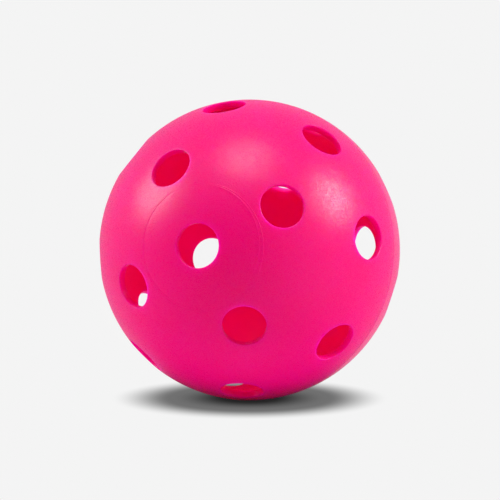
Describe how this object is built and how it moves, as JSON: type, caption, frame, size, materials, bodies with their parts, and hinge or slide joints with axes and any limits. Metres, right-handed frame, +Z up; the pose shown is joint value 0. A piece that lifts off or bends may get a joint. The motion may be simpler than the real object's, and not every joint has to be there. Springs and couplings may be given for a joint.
{
  "type": "pickleball ball",
  "caption": "Hollow plastic ball with round holes through its wall, moulded in halves that are welded rim to rim, for play with a paddle on an indoor court.",
  "frame": {"origin": "centre of the ball", "axes": "+Z up as the ball lies on a floor; the ball's own axis, through the holes at the two poles, lies in the YZ plane, with the front pole towards -Y and 8.6 degrees above it; the weld lies in the plane square to that axis"},
  "size_m": [0.074, 0.074, 0.074],
  "materials": {
    "ball_plastic": "matte, finely textured pink plastic that lets a little light through",
    "weld_plastic": "the same plastic, melted and set smooth"
  },
  "bodies": {
    "root": {"front_half_shell": "ball_plastic", "rear_half_shell": "ball_plastic", "weld_seam": "weld_plastic"}
  },
  "joints": []
}
